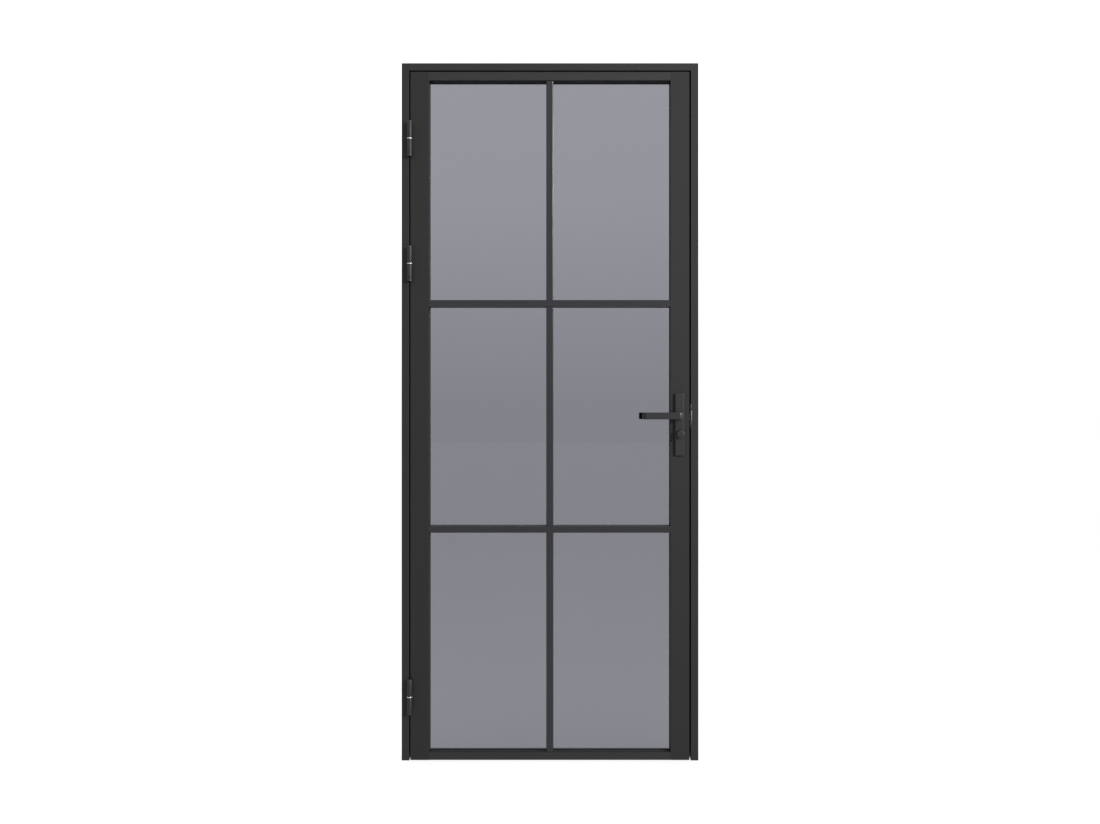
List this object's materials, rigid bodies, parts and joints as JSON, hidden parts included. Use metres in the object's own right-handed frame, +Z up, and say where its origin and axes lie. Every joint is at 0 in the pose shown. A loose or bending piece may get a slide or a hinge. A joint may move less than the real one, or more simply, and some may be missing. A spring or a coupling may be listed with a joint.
{
  "type": "glass door",
  "caption": "Slim black metal glass door in its own jambs and head, with cross bars, tinted panes, barrel hinges, a lever handle, a turn knob and a working mortise lock.",
  "frame": {"origin": "on the floor line, at mid-width of the frame and mid-thickness of the leaf", "axes": "+X from the hinge side to the lock side, +Y from the opening side through the leaf, +Z up"},
  "size_m": [0.9, 0.166, 2.115],
  "materials": {
    "frame_coating": "fine-textured matt anthracite powder coat",
    "leaf_coating": "fine-textured matt anthracite powder coat",
    "hinge_coating": "matt powder coat on turned steel",
    "bright_steel": "bright turned steel",
    "furniture_coating": "smooth satin black coating",
    "blackened_steel": "black satin finish",
    "cleat_aluminium": "mill finish",
    "black_rubber": "extruded black rubber",
    "black_plastic": "moulded black plastic",
    "zinc_steel": "zinc-plated pressed steel",
    "tinted_glass": "clear-surfaced grey tinted safety glass"
  },
  "bodies": {
    "frame": {"hinge_jamb": "frame_coating", "lock_jamb": "frame_coating", "frame_head": "frame_coating", "frame_corner_cleats": "cleat_aluminium", "hinge_side_seal": "black_rubber", "lock_side_seal": "black_rubber", "head_seal": "black_rubber", "strike_plate": "blackened_steel", "strike_keep": "bright_steel", "strike_dust_box": "black_plastic", "strike_screws": "blackened_steel", "upper_hinge_frame_knuckle": "hinge_coating", "middle_hinge_frame_knuckle": "hinge_coating", "lower_hinge_frame_knuckle": "hinge_coating", "hinge_pins": "bright_steel", "hinge_washers": "bright_steel"},
    "leaf": {"hinge_stile": "leaf_coating", "lock_stile": "leaf_coating", "top_rail": "leaf_coating", "bottom_rail": "leaf_coating", "upper_cross_bar": "leaf_coating", "lower_cross_bar": "leaf_coating", "top_upright_bar": "leaf_coating", "middle_upright_bar": "leaf_coating", "bottom_upright_bar": "leaf_coating", "top_left_pane": "tinted_glass", "top_right_pane": "tinted_glass", "middle_left_pane": "tinted_glass", "middle_right_pane": "tinted_glass", "bottom_left_pane": "tinted_glass", "bottom_right_pane": "tinted_glass", "top_beads": "leaf_coating", "middle_beads": "leaf_coating", "bottom_beads": "leaf_coating", "bead_screws": "blackened_steel", "front_gaskets": "black_rubber", "back_gaskets": "black_rubber", "setting_blocks": "black_plastic", "upper_hinge_leaf_knuckle": "hinge_coating", "middle_hinge_leaf_knuckle": "hinge_coating", "lower_hinge_leaf_knuckle": "hinge_coating", "hinge_caps": "bright_steel", "lock_case": "zinc_steel", "lock_cover": "zinc_steel", "lock_forend": "blackened_steel", "forend_screws": "blackened_steel", "latch_spring": "zinc_steel", "front_plate": "furniture_coating", "back_plate": "furniture_coating", "plate_bolts": "blackened_steel"},
    "lever_handles": {"lever_follower": "zinc_steel", "spindle": "zinc_steel", "front_lever": "furniture_coating", "back_lever": "furniture_coating", "grub_screws": "zinc_steel"},
    "latch": {"latch_bolt": "zinc_steel"},
    "turn": {"turn_follower": "zinc_steel", "turn_knob": "furniture_coating", "release_disc": "furniture_coating"},
    "bolt": {"dead_bolt": "zinc_steel"}
  },
  "joints": [
    {"name": "door_swing", "type": "hinge", "parent": "frame", "child": "leaf", "pos_m": [-0.4243, -0.0338, 1], "axis": [0, 0, -1], "range_deg": [0, 170]},
    {"name": "lever_turn", "type": "hinge", "parent": "leaf", "child": "lever_handles", "pos_m": [0.3925, 0, 1.045], "axis": [0, -1, 0], "range_deg": [0, 40], "stiffness_Nm_per_rad": 1.2, "springref_deg": -45.84},
    {"name": "latch_slide", "type": "slide", "parent": "leaf", "child": "latch", "axis": [-1, 0, 0], "range_m": [0, 0.01201], "deforming": ["latch_spring"]},
    {"name": "knob_turn", "type": "hinge", "parent": "leaf", "child": "turn", "pos_m": [0.3925, 0, 0.99], "axis": [0, 1, 0], "range_deg": [0, 90]},
    {"name": "bolt_slide", "type": "slide", "parent": "leaf", "child": "bolt", "axis": [1, 0, 0], "range_m": [0, 0.01501]}
  ],
  "couplings": [
    {"joint": "latch_slide", "follows": "lever_turn", "m_per_rad": 0.017189},
    {"joint": "bolt_slide", "follows": "knob_turn", "m_per_rad": 0.0095493}
  ]
}
